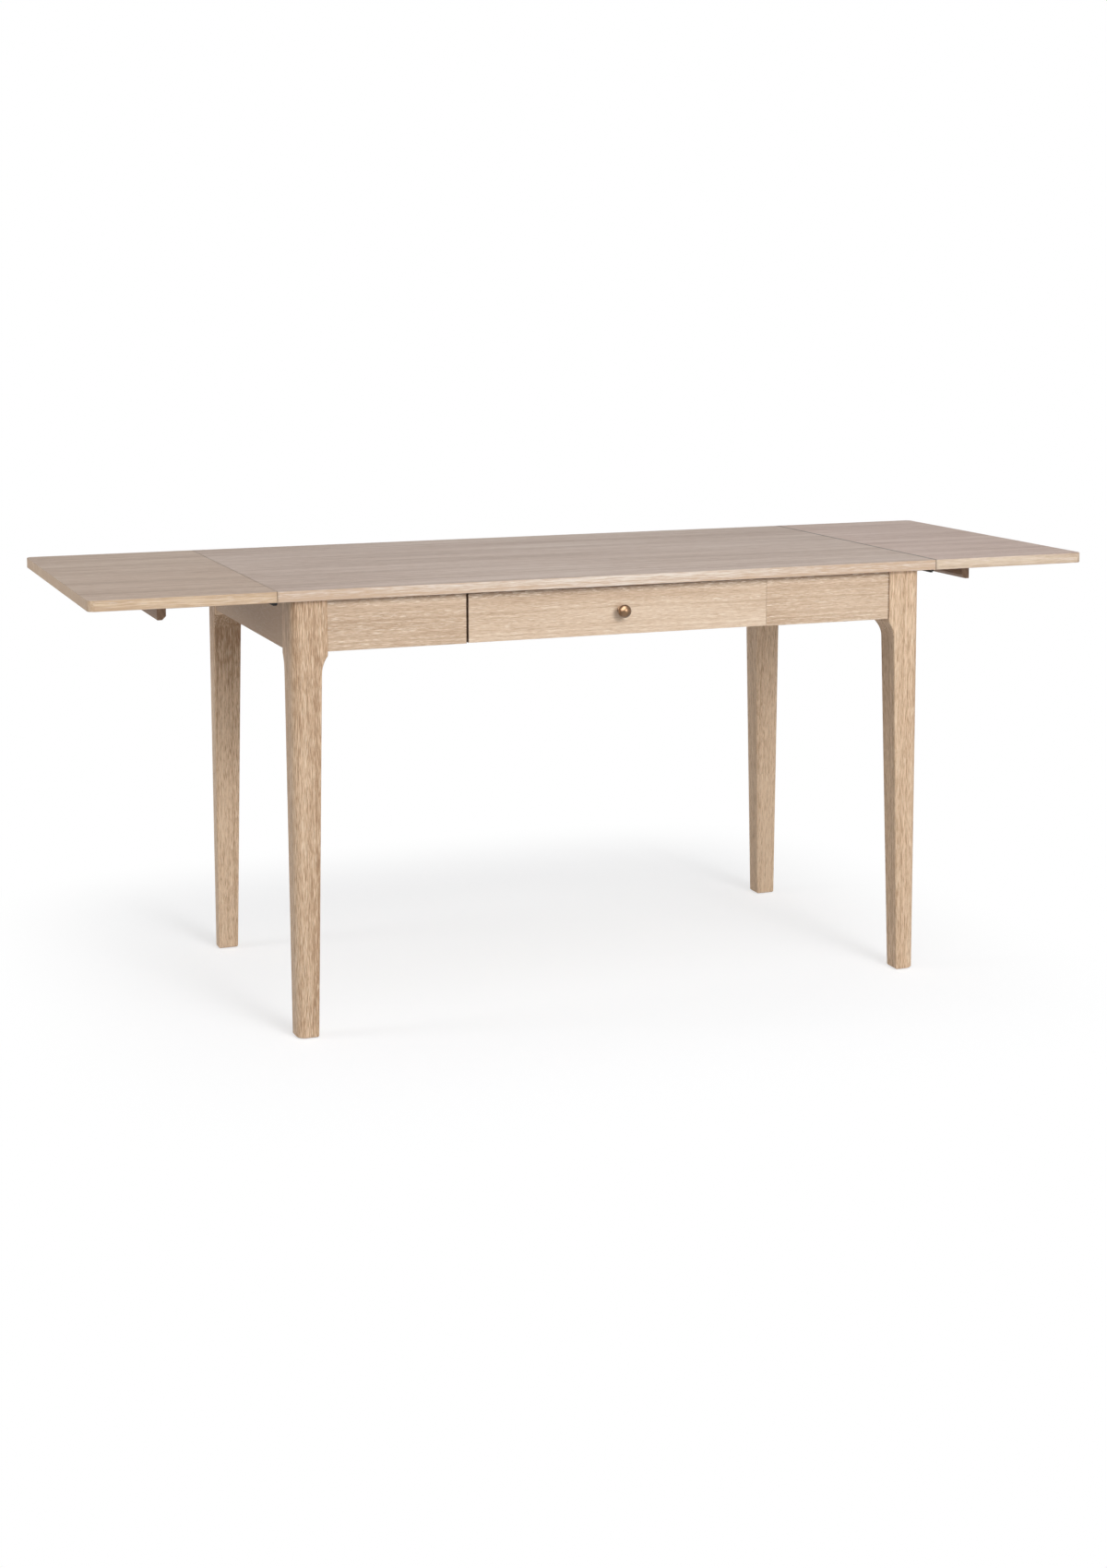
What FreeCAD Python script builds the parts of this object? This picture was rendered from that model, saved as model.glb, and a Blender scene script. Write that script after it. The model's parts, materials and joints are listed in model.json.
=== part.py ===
import FreeCAD, Part
import math
import os
import re

import Sketcher
from FreeCAD import Placement, Rotation, Vector

# An extendable desk with a drawer, pull-out leaf supports and two end leaves.
# X runs along the desk, the front faces -Y, Z is up, and the floor is at zero.

# Driving dimensions, in millimetres
SIZES = {
    "desk_height": 750,
    "top_length": 1200,
    "top_depth": 650,
    "top_thick": 18,
    "edge_round": 1,
    "leaf_length": 302.5,
    "leaf_corner": 12,
    "seam_gap": 0.9,
    "leg_end_inset": 24,
    "leg_side_inset": 12.5,
    "leg_block": 61.5,
    "leg_waist": 51,
    "leg_foot": 37,
    "waist_height": 608,
    "shoulder_radius": 50,
    "shoulder_round": 4,
    "outer_corner_round": 16,
    "leg_edge_round": 3,
    "foot_chamfer": 2,
    "glide_radius": 11,
    "glide_thick": 1.5,
    "apron_height": 86,
    "apron_thick": 20,
    "apron_recess": 2,
    "board_ease": 1,
    "drawer_width": 547,
    "left_gap": 3.4,
    "right_gap": 0.3,
    "above_gap": 2.5,
    "below_gap": 0.8,
    "closing_gap": 0.3,
    "front_ease": 0.5,
    "box_inset": 11.5,
    "box_depth": 330,
    "box_height": 54,
    "box_lift": 4,
    "side_thick": 15,
    "back_thick": 12,
    "floor_thick": 5,
    "floor_lift": 6,
    "floor_groove": 5,
    "side_gap": 0.4,
    "runner_height": 16,
    "runner_depth": 8,
    "runner_lift": 20,
    "runner_gap": 0.2,
    "rail_thick": 24,
    "front_rail_height": 24,
    "stop_length": 20,
    "stop_width": 22,
    "stop_height": 26,
    "stop_lift": 14,
    "knob_radius": 11.4,
    "knob_length": 28,
    "knob_foot_radius": 7,
    "knob_foot_length": 2,
    "knob_neck_radius": 5.2,
    "knob_hollow_radius": 4,
    "screw_radius": 2,
    "screw_head_radius": 4,
    "screw_head_length": 3,
    "screw_grip": 9,
    "bearer_offset": 130,
    "bearer_width": 30,
    "bearer_height": 24.6,
    "bearer_length": 358,
    "bearer_gap": 0.2,
    "guide_length": 40,
    "guide_cheek": 14,
    "guide_floor": 8,
    "guide_from_end": 180,
    "bar_reach": 162.5,
    "bar_thick": 15,
    "bar_height": 41,
    "bar_length": 324,
    "bar_bevel": 6.5,
    "stop_pin_radius": 3,
    "stop_pin_length": 46,
    "leaf_pin_radius": 4,
    "leaf_pin_grip": 22,
    "leaf_pin_reach": 20,
    "pin_bore_spare": 1,
    "leaf_pin_offset": 200,
    "pin_clearance": 0.1,
    "fitting_inset": 17,
    "fitting_length": 40,
    "plate_thick": 1.6,
    "plate_reach": 22,
    "mouth_height": 6.8,
    "mouth_width": 6.8,
    "mouth_wall": 1.3,
    "mouth_round": 2.5,
    "mouth_clearance": 0.4,
    "corner_block_thick": 22,
    "bolt_radius": 4,
    "bolt_grip": 40,
    "bolt_beyond": 16,
    "nut_radius": 8,
    "nut_length": 7,
    "angle_leg": 30,
    "angle_width": 30,
    "angle_thick": 2,
    "angle_offset": 220,
}

# Places worked out from the driving dimensions
WORKED_OUT = {
    "underside": "desk_height - top_thick",
    "apron_base": "underside - apron_height",
    "leg_height": "underside - glide_thick",
    "leg_x": "top_length / 2 - leg_end_inset",
    "leg_y": "top_depth / 2 - leg_side_inset",
    "leg_in_x": "leg_x - leg_block",
    "leg_in_y": "leg_y - leg_block",
    "apron_face_x": "leg_x - apron_recess",
    "apron_face_y": "leg_y - apron_recess",
    "apron_back_x": "apron_face_x - apron_thick",
    "apron_back_y": "apron_face_y - apron_thick",
    "seam_x": "top_length / 2 + seam_gap",
    "drawer_half": "drawer_width / 2",
    "drawer_base": "apron_base + below_gap",
    "drawer_height": "apron_height - above_gap - below_gap",
    "drawer_thick": "apron_thick - closing_gap",
    "drawer_back_y": "apron_back_y + closing_gap",
    "box_half": "drawer_half - box_inset",
    "box_inner_half": "box_half - side_thick",
    "box_base": "apron_base + box_lift",
    "box_end_y": "box_depth - drawer_back_y",
    "rail_face": "box_half + side_gap",
    "runner_groove": "runner_depth - side_gap + runner_gap",
    "runner_bottom": "runner_lift - runner_gap",
    "runner_top": "runner_lift + runner_height + runner_gap",
    "bearer_top": "underside - bearer_gap",
    "bearer_base": "bearer_top - bearer_height",
    "slot_width": "bearer_width + 2 * bearer_gap",
    "slot_depth": "bearer_height + 2 * bearer_gap",
    "slot_floor": "apron_height - slot_depth",
    "slot_near": "leg_in_y - bearer_offset - slot_width / 2",
    "slot_far": "leg_in_y + bearer_offset - slot_width / 2",
    "bar_face_x": "seam_x + bar_reach - bar_thick",
    "bearer_end_x": "bar_face_x - bearer_length",
    "guide_x": "top_length / 2 - guide_from_end",
    "guide_width": "slot_width + 2 * guide_cheek",
    "guide_height": "slot_depth + guide_floor",
    "stop_pin_x": "guide_x - bearer_end_x - closing_gap - stop_pin_radius",
    "leaf_pin_length": "leaf_pin_grip + seam_gap + leaf_pin_reach",
    "fitting_y": "top_depth / 2 - fitting_inset - fitting_length",
    "tongue_x": "top_length / 2 - mouth_width / 2 + mouth_wall + mouth_clearance",
    "tongue_length": "seam_x + plate_reach - tongue_x",
    "corner_line": "2 * leg_block",
    "corner_inner": "apron_recess + apron_thick",
    "corner_near": "corner_line - corner_inner",
    "corner_far": "corner_near + corner_block_thick * sqrt(2)",
    "bolt_start": "leg_block * sqrt(2) - bolt_grip",
    "bolt_length": "bolt_grip + corner_block_thick + bolt_beyond",
    "bolt_z": "box_base + box_height / 2",
}

# Two places this close are the same place, and this far apart are two
SAME = 0.01
APART = 1
# Where a sketch's outline is drawn before its sizes are set
DRAWN_AT = Vector(3, 3, 0)
DRAWN_REACH = 2

doc = FreeCAD.newDocument("ExtendableDesk")
sizes = doc.addObject("Spreadsheet::Sheet", "sizes")
for row, (name, value) in enumerate(SIZES.items(), start=1):
    sizes.set(f"A{row}", name)
    sizes.set(f"B{row}", str(value))
    sizes.setAlias(f"B{row}", name)
doc.recompute()

nodes = []


def formula(words):
    """Writes an expression of plain names as one that reads the sheet."""
    def refer(match):
        word = match.group()
        if word in WORKED_OUT:
            return "(" + formula(WORKED_OUT[word]) + ")"
        return "sizes." + word if word in SIZES else word
    return re.sub(r"[a-z_]+", refer, words)


def bind(thing, path, words):
    thing.setExpression(path, formula(words))


def about_z(degrees):
    return Rotation(Vector(0, 0, 1), degrees)


def place(thing, corner, rotation=Rotation()):
    """Sets a thing's own origin in the desk's frame, and how it is turned."""
    thing.Placement = Placement(Vector(), rotation)
    for letter, words in zip("xyz", corner):
        bind(thing, f"Placement.Base.{letter}", words)


def node(thing, label):
    """Keeps a finished sub-part under its own name."""
    thing.Label = label
    nodes.append(thing)
    return thing


def new_body(label):
    return doc.addObject("PartDesign::Body", label)


def new_sketch(body, role):
    plane = next(item for item in body.Origin.OriginFeatures if item.Role == role)
    sketch = body.newObject("Sketcher::SketchObject", "Sketch")
    sketch.AttachmentSupport = [(plane, "")]
    sketch.MapMode = "FlatFace"
    return sketch


def hold(sketch, item, end, across, up):
    """Holds an end point of a line or arc at a place that is zero or more each way."""
    start = sketch.getPoint(item, end)
    ways = ((across, "DistanceX", -2, start.x), (up, "DistanceY", -1, start.y))
    for words, kind, sketch_axis, drawn in ways:
        if words == "0":
            sketch.addConstraint(Sketcher.Constraint("PointOnObject", item, end, sketch_axis))
        else:
            index = sketch.addConstraint(Sketcher.Constraint(kind, -1, 1, item, end, drawn))
            bind(sketch, f"Constraints[{index}]", words)


def outline(sketch, corners):
    """Draws a closed outline of straight lines through corners given as formulas."""
    count = len(corners)
    angles = [2 * math.pi * index / count for index in range(count)]
    starts = [DRAWN_AT + Vector(math.cos(angle), math.sin(angle), 0) * DRAWN_REACH for angle in angles]
    first = sketch.GeometryCount
    for index in range(count):
        sketch.addGeometry(Part.LineSegment(starts[index], starts[(index + 1) % count]))
    for index, (across, up) in enumerate(corners):
        following = first + (index + 1) % count
        sketch.addConstraint(Sketcher.Constraint("Coincident", first + index, 2, following, 1))
        hold(sketch, first + index, 1, across, up)


def circle(sketch, across, up, radius):
    index = sketch.addGeometry(Part.Circle(DRAWN_AT, Vector(0, 0, 1), DRAWN_REACH))
    hold(sketch, index, 3, across, up)
    size = sketch.addConstraint(Sketcher.Constraint("Radius", index, DRAWN_REACH))
    bind(sketch, f"Constraints[{size}]", radius)


def pad(body, sketch, length, reverse=False):
    feature = body.newObject("PartDesign::Pad", "Pad")
    feature.Profile = sketch
    feature.Reversed = reverse
    bind(feature, "Length", length)
    return feature


def pocket(body, sketch, depth=None, reverse=False):
    """Cuts a sketch into a body, right through where no depth is given."""
    doc.recompute()
    before = body.Shape.Volume
    feature = body.newObject("PartDesign::Pocket", "Pocket")
    feature.Profile = sketch
    feature.Reversed = reverse
    if depth is None:
        feature.Type = "ThroughAll"
    else:
        bind(feature, "Length", depth)
    doc.recompute()
    if body.Shape.Volume >= before:
        raise RuntimeError(f"{body.Name}: a pocket cuts nothing")
    return feature


def soften(body, kind, size, wanted):
    """Rounds or bevels the edges of a body that pass a test."""
    doc.recompute()
    base = body.Tip
    names = [f"Edge{i}" for i, edge in enumerate(base.Shape.Edges, start=1) if wanted(edge)]
    feature = body.newObject(f"PartDesign::{kind}", kind)
    feature.Base = (base, names)
    bind(feature, "Radius" if kind == "Fillet" else "Size", size)
    return feature


def near(first, second):
    return abs(first - second) < SAME


def along(axis):
    """Makes a test for straight edges that run along an axis."""
    def test(edge):
        spans = {"X": edge.BoundBox.XLength, "Y": edge.BoundBox.YLength, "Z": edge.BoundBox.ZLength}
        return all(near(span, 0) for letter, span in spans.items() if letter != axis)
    return test


def board(label, size, corner, turn=0):
    """Makes a plain board with one corner at its own origin."""
    length, width, thick = size
    body = new_body(label)
    sketch = new_sketch(body, "XY_Plane")
    outline(sketch, [("0", "0"), (length, "0"), (length, width), ("0", width)])
    pad(body, sketch, thick)
    place(body, corner, about_z(turn))
    return node(body, label)


def profile_board(label, role, corners, length, corner, turn=0):
    """Makes a board of a constant section, drawn in its own XZ or YZ plane."""
    body = new_body(label)
    sketch = new_sketch(body, role)
    outline(sketch, corners)
    pad(body, sketch, length, reverse=role == "XZ_Plane")
    place(body, corner, about_z(turn))
    return node(body, label)


def bores(body, role, offset, centres, radius, depth, reverse=False):
    """Drills round holes from a plane that lies off one of the body's own planes."""
    sketch = new_sketch(body, role)
    bind(sketch, "AttachmentOffset.Base.z", offset)
    for across, up in centres:
        circle(sketch, across, up, radius)
    pocket(body, sketch, depth, reverse)


# Turns that point a rod's own Z along X, or out of the desk's front
ALONG_X = Rotation(Vector(0, 1, 0), 90)
TO_FRONT = Rotation(Vector(1, 0, 0), 90)


def rod(label, radius, length, corner, rotation=Rotation()):
    """Makes a round bar that starts at a place and runs along its turned Z."""
    bar = doc.addObject("Part::Cylinder", label)
    bind(bar, "Radius", radius)
    bind(bar, "Height", length)
    place(bar, corner, rotation)
    return bar


def group(label, members):
    """Keeps like pieces, each its own solid, under one name."""
    compound = doc.addObject("Part::Compound", label)
    compound.Links = members
    return node(compound, label)


# Main top, with bores in both ends for the leaves' pins
def main_top():
    body = board(
        "main_top",
        ("top_length", "top_depth", "top_thick"),
        ("-top_length / 2", "-top_depth / 2", "underside"),
    )
    centres = [("top_depth / 2 - leaf_pin_offset", "top_thick / 2"),
               ("top_depth / 2 + leaf_pin_offset", "top_thick / 2")]
    radius = "leaf_pin_radius + pin_clearance"
    depth = "leaf_pin_reach + pin_bore_spare"
    bores(body, "YZ_Plane", "0", centres, radius, depth, reverse=True)
    bores(body, "YZ_Plane", "top_length", centres, radius, depth)
    soften(body, "Fillet", "edge_round", along("X"))


# End leaves with their locating pins. A leaf is drawn from its seam outwards.
def leaf(side, turn):
    sign = "-" if turn else ""
    body = board(
        f"leaf_{side}",
        ("leaf_length", "top_depth", "top_thick"),
        (f"{sign}seam_x", f"{'' if turn else '-'}top_depth / 2", "underside"),
        turn,
    )
    soften(body, "Fillet", "leaf_corner", lambda edge: along("Z")(edge) and edge.BoundBox.XMin > APART)
    soften(body, "Fillet", "edge_round", lambda edge: near(edge.BoundBox.ZLength, 0)
           and edge.BoundBox.XMax > APART)
    offsets = ("top_depth / 2 - leaf_pin_offset", "top_depth / 2 + leaf_pin_offset")
    centres = [(offset, "top_thick / 2") for offset in offsets]
    bores(body, "YZ_Plane", "0", centres, "leaf_pin_radius", "leaf_pin_grip", reverse=True)
    pins = []
    for row, flip in (("front", "-"), ("back", "")):
        pins.append(rod(
            f"leaf_pin_{side}_{row}", "leaf_pin_radius", "leaf_pin_length",
            (f"{sign}(top_length / 2 - leaf_pin_reach)", f"{flip}leaf_pin_offset",
             "underside + top_thick / 2"),
            about_z(turn).multiply(ALONG_X)))
    group(f"leaf_pins_{side}", pins)


# Legs: a square block, a hollowed shoulder and a straight inner taper on both inner faces.
# A leg is drawn from its outer corner inwards, so turning it serves all four corners.
CORNERS = {
    "front_left": (0, "-", "-"),
    "front_right": (90, "", "-"),
    "back_right": (180, "", ""),
    "back_left": (270, "-", ""),
}


def inner_curve(sketch, first):
    """Draws the taper and the hollow of a leg's inner face as a line and an arc tangent to it."""
    foot, waist, block = SIZES["leg_foot"], SIZES["leg_waist"], SIZES["leg_block"]
    rise, radius = SIZES["waist_height"], SIZES["shoulder_radius"]
    lean = math.atan2(waist - foot, rise)
    centre = Vector(waist + radius * math.cos(lean), rise - radius * math.sin(lean), 0)
    opening = math.acos((centre.x - block) / radius)
    arc = Part.ArcOfCircle(
        Part.Circle(centre, Vector(0, 0, 1), radius), math.pi - opening, math.pi - lean)
    sketch.addGeometry(Part.LineSegment(Vector(foot, 0, 0), Vector(waist, rise, 0)))
    sketch.addGeometry(arc)
    hold(sketch, first, 1, "leg_foot", "0")
    hold(sketch, first, 2, "leg_waist", "waist_height")
    sketch.addConstraint(Sketcher.Constraint("Tangent", first, 2, first + 1, 2))
    size = sketch.addConstraint(Sketcher.Constraint("Radius", first + 1, radius))
    bind(sketch, f"Constraints[{size}]", "shoulder_radius")
    return arc.StartPoint


def close_curve(sketch, first, points, held):
    """Closes an inner curve with straight lines from its shoulder back to its foot."""
    for index in range(len(points) - 1):
        sketch.addGeometry(Part.LineSegment(points[index], points[index + 1]))
    last = first + len(points) - 2
    sketch.addConstraint(Sketcher.Constraint("Coincident", 1, 1, first, 1))
    for index in range(first, last):
        sketch.addConstraint(Sketcher.Constraint("Coincident", index, 2, index + 1, 1))
    sketch.addConstraint(Sketcher.Constraint("Coincident", last, 2, 0, 1))
    sketch.addConstraint(Sketcher.Constraint("Vertical", first))
    for index, (across, up) in enumerate(held):
        hold(sketch, first + index, 2, across, up)


def leg(corner):
    turn, x_sign, y_sign = CORNERS[corner]
    block = SIZES["leg_block"]
    height = SIZES["desk_height"] - SIZES["top_thick"] - SIZES["glide_thick"]
    foot = Vector(SIZES["leg_foot"], 0, 0)
    body = new_body(f"leg_{corner}")

    front = new_sketch(body, "XZ_Plane")
    shoulder = inner_curve(front, 0)
    points = [shoulder, Vector(block, height, 0), Vector(0, height, 0), Vector(0, 0, 0), foot]
    close_curve(front, 2, points, [("leg_block", "leg_height"), ("0", "leg_height"), ("0", "0")])
    pad(body, front, "leg_block", reverse=True)

    side = new_sketch(body, "YZ_Plane")
    shoulder = inner_curve(side, 0)
    close_curve(side, 2, [shoulder, Vector(block, 0, 0), foot], [("leg_block", "0")])
    pocket(body, side, reverse=True)

    soften(body, "Fillet", "outer_corner_round", lambda edge: along("Z")(edge)
           and near(edge.BoundBox.XMax, 0) and near(edge.BoundBox.YMax, 0))
    soften(body, "Fillet", "shoulder_round", lambda edge: near(edge.BoundBox.ZLength, 0)
           and edge.BoundBox.ZMin > SIZES["waist_height"] + APART and edge.BoundBox.ZMax < height - APART
           and (near(edge.BoundBox.XMin, block) or near(edge.BoundBox.YMin, block)))
    clear = SIZES["outer_corner_round"] + APART
    soften(body, "Fillet", "leg_edge_round", lambda edge: not near(edge.BoundBox.ZLength, 0)
           and max(edge.BoundBox.XMax, edge.BoundBox.YMax) > clear)
    soften(body, "Chamfer", "foot_chamfer", lambda edge: near(edge.BoundBox.ZMax, 0))
    place(body, (f"{x_sign}leg_x", f"{y_sign}leg_y", "glide_thick"), about_z(turn))
    diagonal_hole(body, "bolt_start", "bolt_z - glide_thick")
    node(body, f"leg_{corner}")

    glide = rod(f"foot_glide_{corner}", "glide_radius", "glide_thick",
                (f"{x_sign}(leg_x - leg_foot / 2)", f"{y_sign}(leg_y - leg_foot / 2)", "0"))
    node(glide, f"foot_glide_{corner}")


def diagonal_hole(body, start, height):
    """Drills the corner bolt's hole, level and away from the outer corner along the diagonal."""
    sketch = new_sketch(body, "XZ_Plane")
    sketch.AttachmentOffset = Placement(Vector(), Rotation(Vector(0, 1, 0), 135))
    bind(sketch, "AttachmentOffset.Base.x", f"{start} / sqrt(2)")
    bind(sketch, "AttachmentOffset.Base.z", f"-{start} / sqrt(2)")
    circle(sketch, "0", height, "bolt_radius")
    pocket(body, sketch, reverse=True)


# Corner blocks lie across the inside of each corner, and a hanger bolt ties each to its leg
def corner_block(corner):
    turn, x_sign, y_sign = CORNERS[corner]
    body = new_body(f"corner_block_{corner}")
    sketch = new_sketch(body, "XY_Plane")
    outline(sketch, [("corner_near", "corner_inner"), ("corner_far", "corner_inner"),
                     ("corner_inner", "corner_far"), ("corner_inner", "corner_near")])
    pad(body, sketch, "box_height")
    diagonal_hole(body, "bolt_start", "box_height / 2")
    place(body, (f"{x_sign}leg_x", f"{y_sign}leg_y", "box_base"), about_z(turn))
    node(body, f"corner_block_{corner}")


def corner_bolt(corner):
    turn, x_sign, y_sign = CORNERS[corner]
    diagonal = about_z(turn + 45).multiply(ALONG_X)

    def spot(distance):
        step = f"({distance}) / sqrt(2)"
        return (f"{x_sign}(leg_x - {step})", f"{y_sign}(leg_y - {step})", "bolt_z")

    shank = rod(f"shank_{corner}", "bolt_radius", "bolt_length", spot("bolt_start"), diagonal)
    nut = doc.addObject("Part::Prism", f"nut_{corner}")
    bind(nut, "Circumradius", "nut_radius")
    bind(nut, "Height", "nut_length")
    place(nut, spot("leg_block * sqrt(2) + corner_block_thick"), diagonal)
    bolt = doc.addObject("Part::Fuse", f"bolt_{corner}")
    bolt.Base = shank
    bolt.Tool = nut
    return bolt


# Aprons: two fixed front panels, a back apron, and end aprons slotted for the bearers
def aprons():
    panel_ends = {
        "left": ("-leg_in_x", "leg_in_x - drawer_half - left_gap"),
        "right": ("drawer_half + right_gap", "leg_in_x - drawer_half - right_gap"),
    }
    for side, (start, length) in panel_ends.items():
        panel = board(f"front_panel_{side}", (length, "apron_thick", "apron_height"),
                      (start, "-apron_face_y", "apron_base"))
        soften(panel, "Fillet", "board_ease", lambda edge: along("X")(edge) and near(edge.BoundBox.ZMax, 0))
    back = board("back_apron", ("2 * leg_in_x", "apron_thick", "apron_height"),
                 ("-leg_in_x", "apron_back_y", "apron_base"))
    soften(back, "Fillet", "board_ease", lambda edge: along("X")(edge) and near(edge.BoundBox.ZMax, 0))
    board("front_rail", ("2 * leg_in_x", "apron_back_y - leg_in_y", "front_rail_height"),
          ("-leg_in_x", "-apron_back_y", "underside - front_rail_height"))
    slotted = [("0", "0"), ("2 * leg_in_y", "0"), ("2 * leg_in_y", "apron_height")]
    for start in ("slot_far", "slot_near"):
        slotted += [(f"{start} + slot_width", "apron_height"), (f"{start} + slot_width", "slot_floor"),
                    (start, "slot_floor"), (start, "apron_height")]
    slotted.append(("0", "apron_height"))
    for side, start in (("left", "-apron_face_x"), ("right", "apron_back_x")):
        end = profile_board(f"end_apron_{side}", "YZ_Plane", slotted, "apron_thick",
                            (start, "-leg_in_y", "apron_base"))
        soften(end, "Fillet", "board_ease", lambda edge: along("Y")(edge) and near(edge.BoundBox.ZMax, 0))


# What carries the drawer: rails from front to back, runners on them, and stops behind the drawer
def drawer_carriage():
    stops = []
    for side, sign, rail_start, runner_start, stop_start in (
        ("left", "-", "-rail_face - rail_thick", "-rail_face", "-rail_face"),
        ("right", "", "rail_face", "rail_face - runner_depth", "rail_face - stop_width"),
    ):
        board(f"drawer_rail_{side}", ("rail_thick", "2 * apron_back_y", "box_height"),
              (rail_start, "-apron_back_y", "box_base"))
        board(f"drawer_runner_{side}", ("runner_depth", "box_depth", "runner_height"),
              (runner_start, "-apron_back_y", "box_base + runner_lift"))
        block = doc.addObject("Part::Box", f"drawer_stop_{side}")
        bind(block, "Length", "stop_width")
        bind(block, "Width", "stop_length")
        bind(block, "Height", "stop_height")
        place(block, (stop_start, "box_end_y + closing_gap", "box_base + stop_lift"))
        stops.append(block)
    group("drawer_stops", stops)


# The drawer: an inset front, grooved sides, a back that stands on the floor, and a turned knob
def drawer():
    front = board("drawer_front", ("drawer_width", "drawer_thick", "drawer_height"),
                  ("-drawer_half", "-apron_face_y", "drawer_base"))
    groove = new_sketch(front, "XZ_Plane")
    bind(groove, "AttachmentOffset.Base.z", "-drawer_thick")
    groove_low = "box_lift + floor_lift - below_gap"
    groove_ends = ("drawer_half - box_inner_half - floor_groove",
                   "drawer_half + box_inner_half + floor_groove")
    outline(groove, [(groove_ends[0], groove_low), (groove_ends[1], groove_low),
                     (groove_ends[1], f"{groove_low} + floor_thick"),
                     (groove_ends[0], f"{groove_low} + floor_thick")])
    pocket(front, groove, "floor_groove", reverse=True)
    soften(front, "Fillet", "front_ease", lambda edge: near(edge.BoundBox.YMax, 0))
    bores(front, "XZ_Plane", "0", [("drawer_half", "drawer_height / 2")], "screw_radius", None)

    section = [
        ("0", "0"), ("side_thick", "0"), ("side_thick", "floor_lift"),
        ("side_thick - floor_groove", "floor_lift"),
        ("side_thick - floor_groove", "floor_lift + floor_thick"),
        ("side_thick", "floor_lift + floor_thick"), ("side_thick", "box_height"), ("0", "box_height"),
        ("0", "runner_top"), ("runner_groove", "runner_top"),
        ("runner_groove", "runner_bottom"), ("0", "runner_bottom"),
    ]
    profile_board("drawer_side_left", "XZ_Plane", section, "box_depth",
                  ("-box_half", "-drawer_back_y", "box_base"))
    profile_board("drawer_side_right", "XZ_Plane", section, "box_depth",
                  ("box_half", "box_end_y", "box_base"), 180)
    above_floor = "(floor_lift + floor_thick)"
    board("drawer_back", ("2 * box_inner_half", "back_thick", f"box_height - {above_floor}"),
          ("-box_inner_half", "box_end_y - back_thick", f"box_base + {above_floor}"))
    board("drawer_floor", ("2 * (box_inner_half + floor_groove)", "box_depth + floor_groove",
                           "floor_thick"),
          ("-box_inner_half - floor_groove", "-drawer_back_y - floor_groove", "box_base + floor_lift"))
    knob()


def arc_between(centre, radius, start, end):
    """Makes the arc that runs anticlockwise from one point to another."""
    angles = [math.atan2(point.y - centre.y, point.x - centre.x) for point in (start, end)]
    if angles[1] < angles[0]:
        angles[1] += 2 * math.pi
    return Part.ArcOfCircle(Part.Circle(centre, Vector(0, 0, 1), radius), angles[0], angles[1])


def knob():
    """Turns the knob about its own Z, which points out of the drawer front."""
    body = new_body("knob")
    sketch = new_sketch(body, "XZ_Plane")
    foot, foot_end = SIZES["knob_foot_radius"], SIZES["knob_foot_length"]
    neck, hollow = SIZES["knob_neck_radius"], SIZES["knob_hollow_radius"]
    ball, length = SIZES["knob_radius"], SIZES["knob_length"]
    ball_centre = Vector(0, length - ball, 0)
    rim = Vector(foot, foot_end, 0)
    join = Vector(neck, ball_centre.y - math.sqrt(ball ** 2 - neck ** 2), 0)
    chord = rim - join
    reach = math.sqrt(hollow ** 2 - (chord.Length / 2) ** 2)
    hollow_centre = (rim + join) / 2 + Vector(-chord.y, chord.x, 0).normalize() * reach
    top = Vector(0, length, 0)
    sketch.addGeometry(Part.LineSegment(Vector(0, 0, 0), Vector(foot, 0, 0)))
    sketch.addGeometry(Part.LineSegment(Vector(foot, 0, 0), rim))
    sketch.addGeometry(arc_between(hollow_centre, hollow, join, rim))
    sketch.addGeometry(arc_between(ball_centre, ball, join, top))
    sketch.addGeometry(Part.LineSegment(top, Vector(0, 0, 0)))
    for joined in ((0, 2, 1, 1), (1, 2, 2, 2), (2, 1, 3, 1), (3, 2, 4, 1), (4, 2, 0, 1), (0, 1, -1, 1)):
        sketch.addConstraint(Sketcher.Constraint("Coincident", *joined))
    hold(sketch, 0, 2, "knob_foot_radius", "0")
    hold(sketch, 1, 2, "knob_foot_radius", "knob_foot_length")
    hold(sketch, 3, 2, "0", "knob_length")
    sketch.addConstraint(Sketcher.Constraint("PointOnObject", 3, 3, -2))
    across = sketch.addConstraint(Sketcher.Constraint("DistanceX", -1, 1, 3, 1, neck))
    bind(sketch, f"Constraints[{across}]", "knob_neck_radius")
    for index, words, drawn in ((2, "knob_hollow_radius", hollow), (3, "knob_radius", ball)):
        size = sketch.addConstraint(Sketcher.Constraint("Radius", index, drawn))
        bind(sketch, f"Constraints[{size}]", words)
    turned = body.newObject("PartDesign::Revolution", "Revolution")
    turned.Profile = sketch
    turned.ReferenceAxis = (sketch, ["V_Axis"])
    turned.Angle = 360
    place(body, ("0", "-apron_face_y", "drawer_base + drawer_height / 2"), TO_FRONT)
    bores(body, "XY_Plane", "0", [("0", "0")], "screw_radius", "screw_grip", reverse=True)
    node(body, "knob")

    middle = "drawer_base + drawer_height / 2"
    shank = rod("knob_screw_shank", "screw_radius", "screw_grip + drawer_thick",
                ("0", "-drawer_back_y", middle), TO_FRONT)
    head_piece = rod("knob_screw_head", "screw_head_radius", "screw_head_length",
                     ("0", "-drawer_back_y + screw_head_length", middle), TO_FRONT)
    screw = doc.addObject("Part::Fuse", "knob_screw")
    screw.Base = shank
    screw.Tool = head_piece
    node(screw, "knob_screw")


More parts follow.
